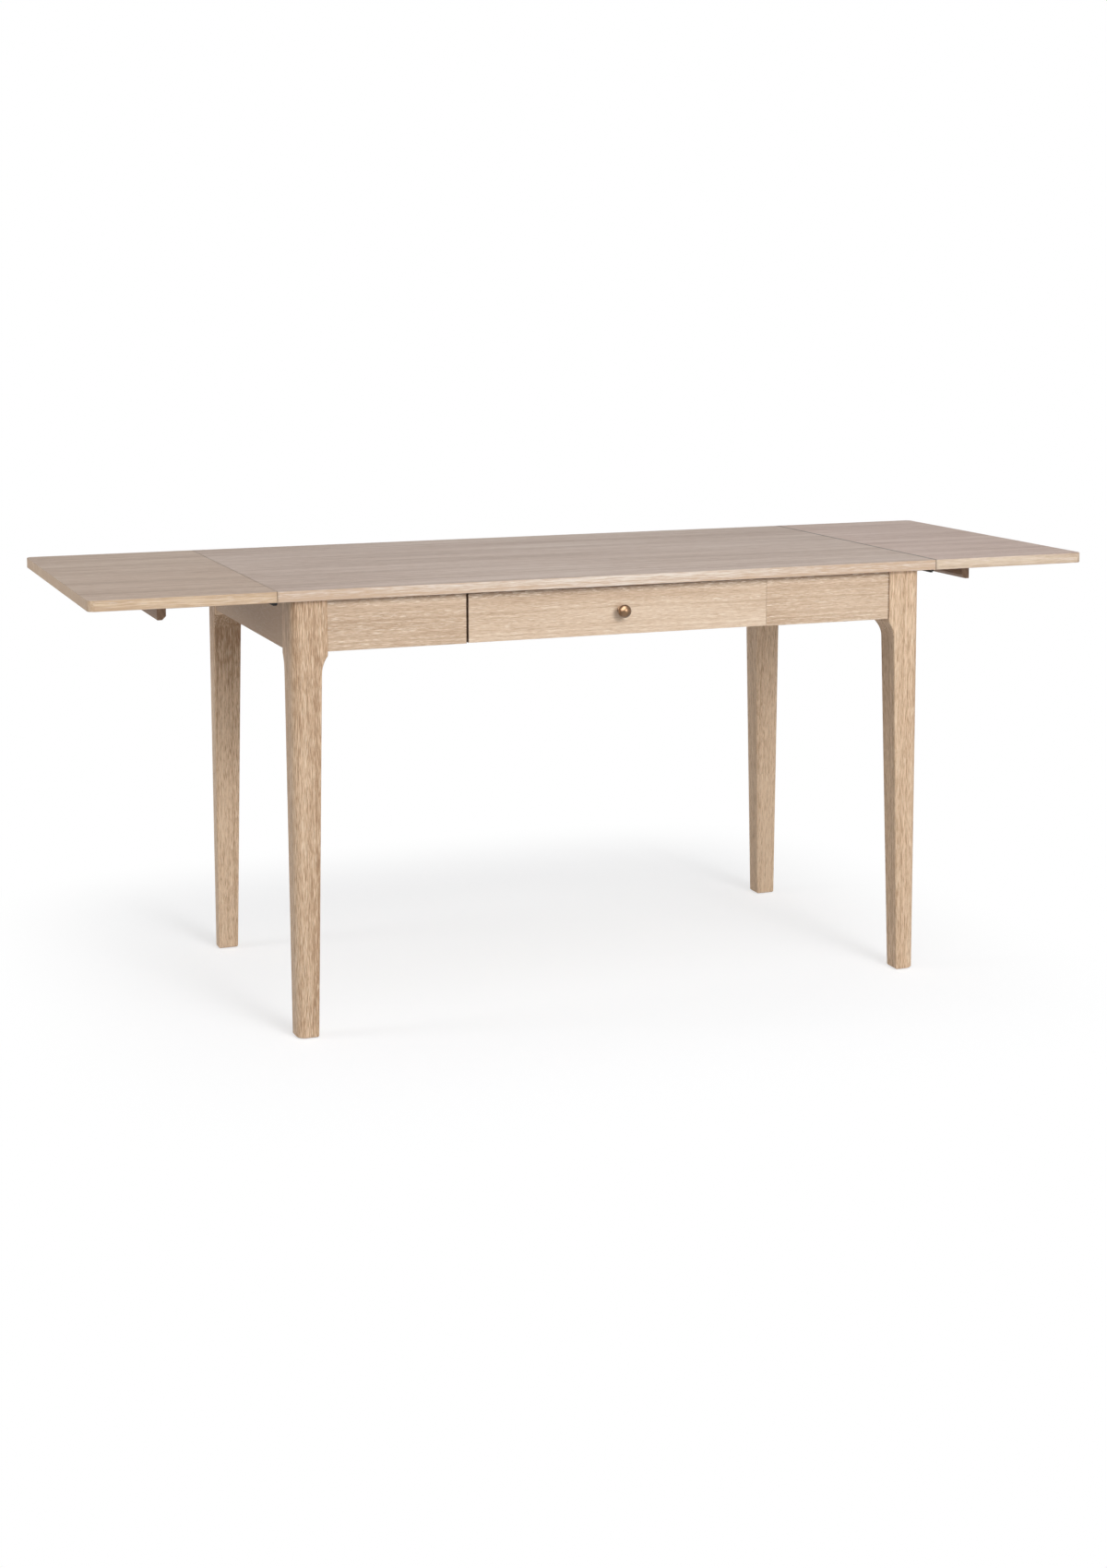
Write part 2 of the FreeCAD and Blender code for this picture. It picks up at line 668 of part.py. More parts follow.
# Pull-out leaf supports: two bearers tied by a bar with a finger bevel, and stop pins
def support(side, turn):
    sign = "-" if turn else ""
    pins = []
    for row, y_words in (("front", "-bearer_offset"), ("back", "bearer_offset")):
        shift = "+" if turn else "-"
        bearer = board(f"bearer_{side}_{row}", ("bearer_length", "bearer_width", "bearer_height"),
                       (f"{sign}bearer_end_x", f"{y_words} {shift} bearer_width / 2", "bearer_base"), turn)
        bores(bearer, "XZ_Plane", "0", [("stop_pin_x", "bearer_height / 2")], "stop_pin_radius", None)
        pins.append(rod(f"stop_pin_{side}_{row}", "stop_pin_radius", "stop_pin_length",
                        (f"{sign}(bearer_end_x + stop_pin_x)", f"{y_words} + stop_pin_length / 2",
                         "bearer_base + bearer_height / 2"), TO_FRONT))
        guide(side, row, y_words, turn)
    section = [("bar_bevel", "0"), ("bar_thick", "0"), ("bar_thick", "bar_height"),
               ("0", "bar_height"), ("0", "bar_bevel")]
    bar = profile_board(f"pull_bar_{side}", "XZ_Plane", section, "bar_length",
                        (f"{sign}bar_face_x", f"{'' if turn else '-'}bar_length / 2",
                         "bearer_top - bar_height"), turn)
    soften(bar, "Fillet", "board_ease", lambda edge: near(edge.BoundBox.XMin, SIZES["bar_thick"]))
    group(f"stop_pins_{side}", pins)


def guide(side, row, y_words, turn):
    """Makes a U-shaped guide, fixed under the main top, that a bearer runs in."""
    sign = "-" if turn else ""
    section = [
        ("0", "0"), ("guide_width", "0"), ("guide_width", "guide_height"),
        ("guide_width - guide_cheek", "guide_height"), ("guide_width - guide_cheek", "guide_floor"),
        ("guide_cheek", "guide_floor"), ("guide_cheek", "guide_height"), ("0", "guide_height"),
    ]
    shift = "+" if turn else "-"
    profile_board(f"bearer_guide_{side}_{row}", "YZ_Plane", section, "guide_length",
                  (f"{sign}guide_x", f"{y_words} {shift} guide_width / 2", "underside - guide_height"), turn)


# Seam fittings: a hooked socket under each end of the main top, and a tongue under the leaf
def seam_fittings(side, turn):
    sign = "-" if turn else ""
    lip = "plate_reach + mouth_width / 2"
    back = "plate_reach - mouth_width / 2"
    ceiling = "mouth_height - plate_thick"
    socket_section = [
        ("0", "mouth_height"), ("plate_reach", "mouth_height"),
        ("plate_reach", "mouth_height - mouth_clearance"), (lip, "mouth_height - mouth_clearance"),
        (lip, ceiling), (f"{back} + mouth_wall", ceiling), (f"{back} + mouth_wall", "mouth_wall"),
        (lip, "mouth_wall"), (lip, "0"), (back, "0"), (back, ceiling), ("0", ceiling),
    ]
    riser = "mouth_width - mouth_wall"
    tongue_low = "mouth_wall + mouth_clearance"
    tongue_section = [
        ("0", tongue_low), (f"{riser} + mouth_wall", tongue_low), (f"{riser} + mouth_wall", ceiling),
        ("tongue_length", ceiling), ("tongue_length", "mouth_height"), (riser, "mouth_height"),
        (riser, f"{ceiling} - mouth_clearance"), ("0", f"{ceiling} - mouth_clearance"),
    ]
    sockets = []
    tongues = []
    for row, low in (("front", "-fitting_y - fitting_length"), ("back", "fitting_y")):
        start = f"{low} + fitting_length" if turn else low
        for kind, section, x_words, made in (
            ("socket", socket_section, "top_length / 2 - plate_reach", sockets),
            ("tongue", tongue_section, "tongue_x", tongues),
        ):
            body = new_body(f"seam_{kind}_{side}_{row}")
            sketch = new_sketch(body, "XZ_Plane")
            outline(sketch, section)
            pad(body, sketch, "fitting_length", reverse=True)
            place(body, (f"{sign}({x_words})", start, "underside - mouth_height"), about_z(turn))
            made.append(body)
        soften(sockets[-1], "Fillet", "mouth_round", lambda edge: along("Y")(edge)
               and near(edge.BoundBox.ZMax, 0) and edge.BoundBox.XMax < SIZES["plate_reach"])
    group(f"seam_sockets_{side}", sockets)
    group(f"leaf_tongues_{side}", tongues)


# Steel angles that hold the main top to the back apron and the end aprons
def top_angles():
    inner = "angle_leg - angle_thick"
    section = [(inner, "0"), ("angle_leg", "0"), ("angle_leg", "angle_leg"), ("0", "angle_leg"),
               ("0", inner), (inner, inner)]
    angles = []
    for spot, x_words, y_words, turn in (
        ("back_left", "-angle_offset - angle_width / 2", "apron_back_y - angle_leg", 0),
        ("back_right", "angle_offset - angle_width / 2", "apron_back_y - angle_leg", 0),
        ("left", "-(apron_back_x - angle_leg)", "-angle_width / 2", 90),
        ("right", "apron_back_x - angle_leg", "angle_width / 2", 270),
    ):
        body = new_body(f"top_angle_{spot}")
        sketch = new_sketch(body, "YZ_Plane")
        outline(sketch, section)
        pad(body, sketch, "angle_width")
        place(body, (x_words, y_words, "underside - angle_leg"), about_z(turn))
        angles.append(body)
    group("top_angles", angles)


main_top()
for corner in CORNERS:
    leg(corner)
    corner_block(corner)
group("corner_bolts", [corner_bolt(corner) for corner in CORNERS])
aprons()
top_angles()
drawer_carriage()
drawer()
for side, turn in (("left", 180), ("right", 0)):
    leaf(side, turn)
    support(side, turn)
    seam_fittings(side, turn)

doc.recompute()
for thing in doc.Objects:
    if "Invalid" in thing.State or "Error" in thing.State:
        raise RuntimeError(f"{thing.Label} failed: {thing.State}")
for thing in nodes:
    if thing.Shape.isNull() or not thing.Shape.isValid():
        raise RuntimeError(f"{thing.Label} has no valid shape")
os.makedirs("parts", exist_ok=True)
for thing in nodes:
    thing.Shape.exportStep(f"parts/{thing.Label}.step")
    print(f"{thing.Label}: {len(thing.Shape.Solids)} solid(s), {thing.Shape.Volume:.0f} mm3")
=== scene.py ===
import json
import math

import bmesh
import bpy
from mathutils import Matrix, Vector


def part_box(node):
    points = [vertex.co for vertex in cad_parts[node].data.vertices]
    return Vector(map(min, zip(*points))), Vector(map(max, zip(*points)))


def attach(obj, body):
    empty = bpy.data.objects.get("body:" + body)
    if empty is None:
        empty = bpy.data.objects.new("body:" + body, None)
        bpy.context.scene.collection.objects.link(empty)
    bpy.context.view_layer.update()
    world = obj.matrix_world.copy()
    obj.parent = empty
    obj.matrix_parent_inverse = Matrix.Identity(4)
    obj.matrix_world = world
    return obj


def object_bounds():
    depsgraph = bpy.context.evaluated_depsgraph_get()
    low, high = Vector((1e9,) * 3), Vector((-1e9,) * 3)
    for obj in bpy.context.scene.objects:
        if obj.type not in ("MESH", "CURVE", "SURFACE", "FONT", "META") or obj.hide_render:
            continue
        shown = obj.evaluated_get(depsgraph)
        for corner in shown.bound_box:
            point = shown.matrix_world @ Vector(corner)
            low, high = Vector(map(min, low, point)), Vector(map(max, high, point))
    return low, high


# An extendable desk of limed oak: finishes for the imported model, small fittings, light and camera.
# All lengths are in metres, in the model's own frame: X along the desk, -Y out of its front, Z up.

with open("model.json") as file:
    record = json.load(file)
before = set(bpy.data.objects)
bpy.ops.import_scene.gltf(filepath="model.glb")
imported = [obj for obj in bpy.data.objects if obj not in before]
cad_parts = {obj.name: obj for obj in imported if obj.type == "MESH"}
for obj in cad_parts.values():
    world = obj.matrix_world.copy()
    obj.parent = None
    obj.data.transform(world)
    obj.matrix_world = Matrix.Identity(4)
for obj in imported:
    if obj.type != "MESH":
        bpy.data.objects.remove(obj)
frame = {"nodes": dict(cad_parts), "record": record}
cad_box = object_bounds()
nodes = frame["nodes"]

WHITE = (1.0, 1.0, 1.0, 1.0)
# A noise's middle value, and the range that most of its values lie in
MIDDLE = 0.5
MOST = (0.3, 0.7)


def colour(red, green, blue):
    """Turns a colour as it looks on screen, 0 to 255, into the linear one that shaders take (sRGB curve)."""
    def linear(channel):
        part = channel / 255
        return part / 12.92 if part <= 0.04045 else ((part + 0.055) / 1.055) ** 2.4
    return (linear(red), linear(green), linear(blue), 1.0)


class Graph:
    """A material whose nodes are linked as they are added."""

    def __init__(self, name):
        self.material = bpy.data.materials.new(name)
        self.material.use_nodes = True
        self.tree = self.material.node_tree
        self.shader = self.tree.nodes["Principled BSDF"]

    def feed(self, socket, value):
        """Links a socket to another one, or sets its value."""
        if isinstance(value, bpy.types.NodeSocket):
            self.tree.links.new(value, socket)
        else:
            socket.default_value = value

    def add(self, kind, output=0, settings=(), **inputs):
        made = self.tree.nodes.new("ShaderNode" + kind)
        for name, value in dict(settings).items():
            setattr(made, name, value)
        for name, value in inputs.items():
            self.feed(made.inputs[name], value)
        return made.outputs[output]

    def operate(self, kind, operation, values):
        made = self.tree.nodes.new("ShaderNode" + kind)
        made.operation = operation
        for socket, value in zip(made.inputs, values):
            self.feed(socket, value)
        return made

    def math(self, operation, *values):
        return self.operate("Math", operation, values).outputs["Value"]

    def vector(self, operation, *values):
        output = "Value" if operation == "LENGTH" else "Vector"
        return self.operate("VectorMath", operation, values).outputs[output]

    def point(self):
        """The place on the surface, in the desk's own frame."""
        return self.add("TexCoord", "Object")

    def part(self, vector, way):
        """The part of a vector along X, Y or Z."""
        return self.add("SeparateXYZ", way, Vector=vector)

    def spread(self, value):
        """Puts one value in all three parts of a vector."""
        return self.add("CombineXYZ", X=value, Y=value, Z=value)

    def noise(self, place, stretch, detail, roughness, output="Fac"):
        """Cloudy noise with so many features to the metre along each axis."""
        stretched = self.vector("MULTIPLY", place, stretch)
        return self.add("TexNoise", output, Vector=stretched, Scale=1.0, Detail=detail, Roughness=roughness)

    def between(self, value, low, high, to_low=0.0, to_high=1.0):
        """Carries a value smoothly from one range to another, and holds it there."""
        made = self.tree.nodes.new("ShaderNodeMapRange")
        made.interpolation_type = "SMOOTHSTEP"
        for socket, item in zip(made.inputs, (value, low, high, to_low, to_high)):
            self.feed(socket, item)
        return made.outputs["Result"]

    def ramp(self, value, stops):
        """Turns a value into a colour, by screen colours at rising values."""
        made = self.tree.nodes.new("ShaderNodeValToRGB")
        elements = made.color_ramp.elements
        while len(elements) < len(stops):
            elements.new(0.5)
        for element, (position, shade) in zip(elements, stops):
            element.position = position
            element.color = colour(*shade)
        self.feed(made.inputs["Fac"], value)
        return made.outputs["Color"]

    def blend(self, factor, first, second):
        """Fades from one colour to another."""
        made = self.tree.nodes.new("ShaderNodeMix")
        made.data_type = "RGBA"
        for name, value in (("Factor_Float", factor), ("A_Color", first), ("B_Color", second)):
            socket = next(item for item in made.inputs if item.identifier == name)
            self.feed(socket, value)
        return next(item for item in made.outputs if item.identifier == "Result_Color")

    def bump(self, height, depth, strength):
        normal = self.add("Bump", Height=height, Distance=depth, Strength=strength)
        self.feed(self.shader.inputs["Normal"], normal)

    def set(self, **inputs):
        for name, value in inputs.items():
            self.feed(self.shader.inputs[name.replace("_", " ")], value)


# Turns that lay a log's own X axis along the grain
GRAIN = {"X": (0, 0, 0), "Y": (0, 0, math.pi / 2), "Z": (0, -math.pi / 2, 0)}

# How long the fine marks of a top are drawn out, how far its grain wanders, how wide its rings are,
# and how strongly each of its marks shows
TOP_MARKS = {
    "long": 1.6, "wander": 0.010, "ring": 0.0060,
    "rings": 0.8, "dashes": 0.8, "fibres": 0.8, "clouds": 0.9,
}
# Limed oak, by where it is used: the wood from its darkest to its palest, the lime in its pores
# and its marks; a top also has the shades of its lipped edge, and spans along the lip,
# from where, to where, with the change of tone at each
OAK = {
    "top": {
        "shades": ((177, 153, 137), (202, 180, 165), (219, 202, 190)), "lime": (227, 213, 204),
        "edge": ((201, 173, 147), (227, 214, 200), (238, 225, 211)),
        "lip": ((-0.6, -0.1, -0.22, 0.0), (-0.15, 0.3, 0.0, -0.3), (0.35, 0.55, 0.0, 0.06)),
        **TOP_MARKS,
    },
    "left leaf": {
        "shades": ((169, 142, 122), (194, 169, 149), (212, 192, 175)), "lime": (221, 204, 189),
        "edge": ((194, 164, 134), (219, 194, 164), (232, 210, 183)),
        "lip": ((-0.86, -0.78, -0.36, -0.22),),
        **TOP_MARKS,
    },
    "right leaf": {
        "shades": ((179, 152, 138), (204, 179, 165), (221, 201, 190)), "lime": (229, 212, 204),
        "edge": ((186, 161, 136), (211, 190, 166), (226, 208, 186)),
        "lip": ((0.78, 0.87, 0.0, -0.16),),
        **TOP_MARKS,
    },
    "front": {
        "shades": ((178, 149, 122), (211, 185, 159), (230, 210, 187)), "lime": (236, 221, 202),
        "long": 1.0, "wander": 0.006, "ring": 0.0042,
        "rings": 0.3, "dashes": 0.45, "fibres": 0.75, "clouds": 0.5,
    },
    "leg": {
        "shades": ((158, 124, 94), (200, 168, 137), (227, 199, 169)), "lime": (239, 220, 194),
        "long": 1.5, "wander": 0.008, "ring": 0.0046,
        "rings": 0.45, "dashes": 0.9, "fibres": 1.9, "clouds": 0.3,
    },
    "bar": {
        "shades": ((112, 86, 66), (138, 110, 88), (160, 132, 108)), "lime": (164, 138, 114),
        "long": 1.5, "wander": 0.006, "ring": 0.0046,
        "rings": 0.4, "dashes": 0.6, "fibres": 0.8, "clouds": 0.4,
    },
    "inner": {
        "shades": ((168, 137, 105), (197, 168, 135), (216, 191, 160)), "lime": (218, 195, 165),
        "long": 1.5, "wander": 0.006, "ring": 0.0060,
        "rings": 0.5, "dashes": 0.6, "fibres": 0.5, "clouds": 0.5,
    },
}
# The tones at which the three shades lie
SHADE_TONES = (0.22, 0.5, 0.78)
# Noises of the wood: features to the metre along and across the grain, detail and roughness
DRIFT = ((2.4, 11, 11), 2.0, 0.5)
DASHES = ((40, 850, 850), 2.0, 0.55)
FIBRES = ((90, 1600, 1600), 2.0, 0.6)
CLOUDS = ((2.0, 22, 22), 2.0, 0.5)
PORES = ((70, 1300, 1300), 1.0, 0.5)
RING_DETAIL = 2.0
RING_ROUGHNESS = 0.6
# Lime fills the pores where their noise is high, and more of it in some rings than in others
PORE_RANGE = (0.56, 0.66)
PORE_RINGS = (0.4, 0.6)
PORE_FILL = (0.2, 0.8)
# How far a normal leans along an axis where one face of a board gives way to the next
FACE_TURN = (0.3, 0.7)
# The lacquer's roughness and gloss, and the depth and strength of the relief
OAK_ROUGHNESS = (0.62, 0.5)
OAK_GLOSS = 0.35
OAK_RELIEF = (0.0002, 0.5)
PORE_RELIEF = 0.6
# How far the next stave's log lies from this one's
STAVE_STEP = (0.31, 0.043, 0.027)


def oak(name, look, axis, heart, paler=0.0, staves=(), darker=(), painted_shade=()):
    """Oak sawn from a log whose heart passes through a point and runs along an axis.

    A stave is the way across a glue line, where the line lies and how much paler it is beyond the line.
    Darker is painted shade: the way along which the colour grows darker, from where, to where and by how
    much.
    The last argument is painted shade at joints: the way towards a joint, where the shade starts, where the
    joint lies, how much it covers (for a top a pair, on the board's faces and ends and on its long edges)
    and its colour."""
    kind = OAK[look]
    graph = Graph(name)
    place = graph.point()
    log = graph.add("Mapping", settings={"vector_type": "TEXTURE"}, Vector=place,
                    Location=heart, Rotation=GRAIN[axis])
    tone = MIDDLE + paler
    for way, line, change in staves:
        beyond = graph.math("GREATER_THAN", graph.part(place, way), line)
        log = graph.vector("MULTIPLY_ADD", graph.spread(beyond), STAVE_STEP, log)
        tone = graph.math("MULTIPLY_ADD", beyond, change, tone)
    # Painted shade: the colour grows darker along a way
    for way, start, end, change in darker:
        near = graph.between(graph.part(place, way), start, end, 0.0, -change)
        tone = graph.math("ADD", tone, near)

    drift = graph.noise(log, *DRIFT, "Color")
    sway = graph.vector("MULTIPLY", graph.vector("SUBTRACT", drift, (MIDDLE, MIDDLE, MIDDLE)),
                        (0, kind["wander"], kind["wander"]))
    grain = graph.vector("ADD", log, sway)
    age = graph.vector("LENGTH", graph.vector("MULTIPLY", grain, (0, 1, 1)))
    fine = graph.vector("DIVIDE", grain, (kind["long"], 1, 1))
    marks = {
        "rings": graph.add("TexNoise", "Fac", {"noise_dimensions": "1D"}, W=age, Scale=1 / kind["ring"],
                           Detail=RING_DETAIL, Roughness=RING_ROUGHNESS),
        "dashes": graph.noise(fine, *DASHES),
        "fibres": graph.noise(fine, *FIBRES),
        "clouds": graph.noise(grain, *CLOUDS),
    }
    for mark, value in marks.items():
        tone = graph.math("MULTIPLY_ADD", graph.math("SUBTRACT", value, MIDDLE), kind[mark], tone)
    wood = graph.ramp(tone, list(zip(SHADE_TONES, kind["shades"])))

    if "edge" in kind:
        normal = graph.add("NewGeometry", "Normal")
        level = graph.math("ABSOLUTE", graph.part(normal, "Z"))
        frontal = graph.math("ABSOLUTE", graph.part(normal, "Y"))
        along = graph.part(place, "X")
        lip_tone = tone
        for span in kind["lip"]:
            lip_tone = graph.math("ADD", lip_tone, graph.between(along, *span))
        lip = graph.ramp(lip_tone, list(zip(SHADE_TONES, kind["edge"])))
        wood = graph.blend(graph.between(level, *FACE_TURN), lip, wood)
    # Painted shade at joints
    for way, start, joint, cover, shade in painted_shade:
        if "edge" in kind:
            cover = graph.between(frontal, *FACE_TURN, *cover)
        near = graph.between(graph.part(place, way), start, joint, 0.0, cover)
        wood = graph.blend(near, wood, colour(*shade))

    specks = graph.between(graph.noise(fine, *PORES), *PORE_RANGE)
    pores = graph.math("MULTIPLY", specks, graph.between(marks["rings"], *PORE_RINGS, *PORE_FILL))
    graph.set(
        Base_Color=graph.blend(pores, wood, colour(*kind["lime"])),
        Roughness=graph.between(marks["fibres"], *MOST, *OAK_ROUGHNESS),
        Specular_IOR_Level=OAK_GLOSS,
    )
    sunk = graph.math("MULTIPLY", pores, PORE_RELIEF)
    graph.bump(graph.math("SUBTRACT", marks["fibres"], sunk), *OAK_RELIEF)
    return graph.material


# Finishes that follow one noise: its features to the metre, detail and roughness, the shades at its values,
# how rough the surface is from the noise's low values to its high ones, and its relief's depth and strength
SPECKLED = {
    "plywood": {
        "figure": ((9, 130, 130), 4.0, 0.6), "shades": ((0.25, (196, 168, 130)), (0.75, (224, 203, 170))),
        "roughness": (0.66, 0.55), "relief": (0.0002, 0.4),
    },
    "nylon": {
        "figure": ((700, 700, 700), 3.0, 0.5), "shades": ((0.3, (92, 80, 66)), (0.7, (118, 104, 88))),
        "roughness": (0.7, 0.55), "relief": (0.0001, 0.4),
    },
}
# Steels: the shades of their clouds, how metallic they are, and how rough from low streaks to high ones
STEELS = {
    "zinc_steel": {
        "shades": ((0.3, (150, 150, 148)), (0.7, (186, 186, 182))),
        "metallic": 1.0, "roughness": (0.46, 0.30),
    },
    "black_steel": {
        "shades": ((0.3, (14, 13, 12)), (0.7, (27, 25, 23))),
        "metallic": 0.0, "roughness": (0.68, 0.52),
    },
}
STEEL_CLOUDS = ((220, 220, 220), 4.0, 0.6)
STEEL_STREAKS = ((60, 900, 900), 3.0, 0.5)
STEEL_RELIEF = (0.00006, 0.5)
# Aged brass under lacquer
PATINA = ((160, 160, 160), 5.0, 0.62)
PATINA_SHADES = ((0.30, (97, 71, 45)), (0.52, (118, 88, 59)), (0.72, (137, 106, 76)))
BRASS_ROUGHNESS = (0.38, 0.3)
LACQUER = 0.8
LACQUER_ROUGHNESS = 0.3
SCRATCHES = ((900, 2600, 900), 2.0, 0.5)
SCRATCH_SHARE = 0.4
BRASS_RELIEF = (0.00008, 0.4)


def speckled(name):
    kind = SPECKLED[name]
    graph = Graph(name)
    figure = graph.noise(graph.point(), *kind["figure"])
    graph.set(
        Base_Color=graph.ramp(figure, kind["shades"]),
        Roughness=graph.between(figure, *MOST, *kind["roughness"]),
    )
    graph.bump(figure, *kind["relief"])
    return graph.material


def steel(name):
    """Rolled steel with a faint brushed streak and cloudy colour."""
    kind = STEELS[name]
    graph = Graph(name)
    place = graph.point()
    streaks = graph.noise(place, *STEEL_STREAKS)
    graph.set(
        Base_Color=graph.ramp(graph.noise(place, *STEEL_CLOUDS), kind["shades"]),
        Metallic=kind["metallic"],
        Roughness=graph.between(streaks, *MOST, *kind["roughness"]),
    )
    graph.bump(streaks, *STEEL_RELIEF)
    return graph.material


def aged_brass():
    graph = Graph("aged_brass")
    place = graph.point()
    patina = graph.noise(place, *PATINA)
    graph.set(
        Base_Color=graph.ramp(patina, PATINA_SHADES),
        Metallic=1.0,
        Roughness=graph.between(patina, *MOST, *BRASS_ROUGHNESS),
        Coat_Weight=LACQUER,
        Coat_Roughness=LACQUER_ROUGHNESS,
    )
    scratches = graph.noise(place, *SCRATCHES)
    graph.bump(graph.math("MULTIPLY_ADD", scratches, SCRATCH_SHARE, patina), *BRASS_RELIEF)
    return graph.material


# Where the heart of a piece's log lies from the middle of the piece, and how much further on it lies
# for each node that comes before by name, so that no two boards show the same figure
HEARTS = {
    "leg": ((0.05, 0.09, 0.0), (0.0, 0.0, 0.3)),
    "top": ((0.0, 0.55, -0.30), (0.37, 0.0, 0.0)),
    "front": ((0.0, 0.16, 0.09), (0.41, 0.0, 0.0)),
    "hidden": ((0.11, 0.07, 0.05), (0.0, 0.0, 0.0)),
}
# The boards of the top and their looks
TOPS = {"main_top": "top", "leaf_left": "left leaf", "leaf_right": "right leaf"}
# Boards that are darker or paler than their kind; for the back left leg, how much paler its shoulder piece is
PALER = {
    "front_panel_left": -0.15, "front_panel_right": -0.11, "drawer_front": -0.02,
    # Painted shade: the end aprons are darker for the shade under the leaves
    "end_apron_left": -0.37, "end_apron_right": -0.37,
    # Painted light: the back legs are paler for the light that the top keeps off them, the back left leg's
    # shoulder piece far paler
    "leg_front_left": -0.025, "leg_front_right": 0.05, "leg_back_right": 0.19, "leg_back_left": 1.0,
}
# Glue lines: how far in from a leg's outer face, and how much paler the outer stave is;
# where the back right leg is joined end to end, and how much paler it is above that;
# how far from the back left leg's back face its shoulder piece starts, and how much paler: painted light
LEG_STAVE = 0.028
LEG_STAVE_PALER = 0.06
END_JOINT_HEIGHT = 0.2507
END_JOINT_PALER = -0.06
SHOULDER_STAVE = 0.060
SHOULDER_PAINTED_LIGHT = 0.85
# Painted shade, where the colour grows darker, from where, to where and by how much: up the back left leg,
# which the front of the desk shades, and to the left along the main top
LEG_DARKER = (0.45, 0.64, 0.38)
LEFT_DARKER = (0.0, -0.6, 0.13)
# Painted shade at joints: grey in the seams of the top, and brown in the shade of other joints
SEAM_SHADE = (92, 76, 64)
SHADED = (98, 66, 40)
# How far the painted shade reaches in and how much it covers: close under the top's overhang,
# in the gap at the drawer's left end, along the seams, which are the board ends nearer the middle than a
# place, as a pair for the boards' faces and their long edges, and at the right panel's outer end by the leg
UNDER_TOP_SHADE_REACH = 0.015
UNDER_TOP_SHADE_COVER = 0.55
GAP_REACH = 0.0010
GAP_COVER = 0.85
SEAM_PLACE = 0.7
SEAM_SHADE_REACH = 0.0036
SEAM_COVER = {"left": (0.15, 0.15), "right": (0.95, 0.2)}
PANEL_COVER = 0.95


def finish_nodes():
    """Gives every node of the model its finish, with a log of its own for each piece of wood."""
    finishes = {
        "brass": aged_brass(),
        "steel": steel("zinc_steel"),
        "black_steel": steel("black_steel"),
        "glide": speckled("nylon"),
        "plywood": speckled("plywood"),
    }
    slots = {row["node"]: row["material_slot"] for row in frame["record"]["subparts"]}
    for number, (name, item) in enumerate(sorted(nodes.items())):
        slot = slots[name]
        if slot in finishes:
            finish = finishes[slot]
        else:
            finish = wood_for(name, slot, number)
        item.data.materials.clear()
        item.data.materials.append(finish)
    return finishes


def wood_for(name, slot, number):
    """Picks the look of a piece of wood, its glue lines, and the painted shade of its darker ends and joints.
    """
    low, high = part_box(name)
    size = high - low
    middle = (low + high) / 2
    axis = "XYZ"[max(range(3), key=lambda way: size[way])]
    staves = []
    darker = []
    painted_shade = []
    if name.startswith("leg"):
        look = log = "leg"
        outward = math.copysign(1, middle.x)
        outer = max(low.x, high.x, key=abs)
        staves.append(("X", outer - outward * LEG_STAVE, LEG_STAVE_PALER * outward))
        if name == "leg_back_right":
            staves.append(("Z", END_JOINT_HEIGHT, END_JOINT_PALER))
        if name == "leg_back_left":
            # Painted light: the front of its block is far paler
            staves.append(("Y", high.y - SHOULDER_STAVE, -SHOULDER_PAINTED_LIGHT))
            # Painted shade up the leg
            darker.append(("Z", *LEG_DARKER))
    elif name.startswith("pull_bar"):
        look = "bar"
        log = "hidden"
    elif slot == "inner_wood":
        look = "inner"
        log = "hidden"
    elif name in TOPS:
        look = TOPS[name]
        log = "top"
        axis = "X"
        if name == "main_top":
            # Painted shade towards the left end
            darker.append(("X", *LEFT_DARKER))
        # Painted shade in the seams
        for end in (low.x, high.x):
            if abs(end) < SEAM_PLACE:
                cover = SEAM_COVER["left" if end < 0 else "right"]
                painted_shade.append(("X", end + math.copysign(SEAM_SHADE_REACH, middle.x - end), end, cover, SEAM_SHADE))
    else:
        look = log = "front"
        # Painted shadow close under the top's overhang
        painted_shade.append(("Z", high.z - UNDER_TOP_SHADE_REACH, high.z, UNDER_TOP_SHADE_COVER, SHADED))
        # Painted shade in the gap at the drawer's left end and by the right leg
        if name == "drawer_front":
            painted_shade.append(("X", low.x + GAP_REACH, low.x, GAP_COVER, SHADED))
        if name == "front_panel_left":
            painted_shade.append(("X", high.x - GAP_REACH, high.x, GAP_COVER, SHADED))
        if name == "front_panel_right":
            painted_shade.append(("X", high.x - SEAM_SHADE_REACH, high.x, PANEL_COVER, SHADED))
    away = Vector([start + step * number for start, step in zip(*HEARTS[log])])
    return oak(name, look, axis, middle + away, PALER.get(name, 0.0), staves, darker, painted_shade)


# Raised countersunk screws: the head from its rim to its crown, as radius and height, and its cross recess
HEAD_SIDES = 24
HEAD_PROFILE = ((0.0036, -0.0001), (0.0036, 0.0002), (0.0033, 0.0006), (0.0027, 0.0009))
CROWN_HEIGHT = 0.0010
RECESS_REACH = 0.0020
RECESS_HALF_WIDTH = 0.00055
RECESS_DEPTH = 0.0008
RECESS_NARROWING = 0.75
# How much further each next screw is turned in, in radians
SCREW_TURN = 0.7
# Where the screws sit: in from a guide's sides, along a steel angle's legs, on the seam fittings' plates,
# and under the back of the drawer
GUIDE_CHEEK_MIDDLE = 0.007
ANGLE_LEG = 0.030
ANGLE_THICK = 0.002
ANGLE_PLACES = (0.22, -0.22)
PLATE_MIDDLE = 0.009
PLATE_THICK = 0.0016
FITTING_SCREWS = (-0.278, 0.278, -0.298, 0.298)
DRAWER_FLOOR_SCREWS = (-0.18, 0.0, 0.18)
DRAWER_BACK_MIDDLE = 0.006
DOWN = Vector((0, 0, -1))


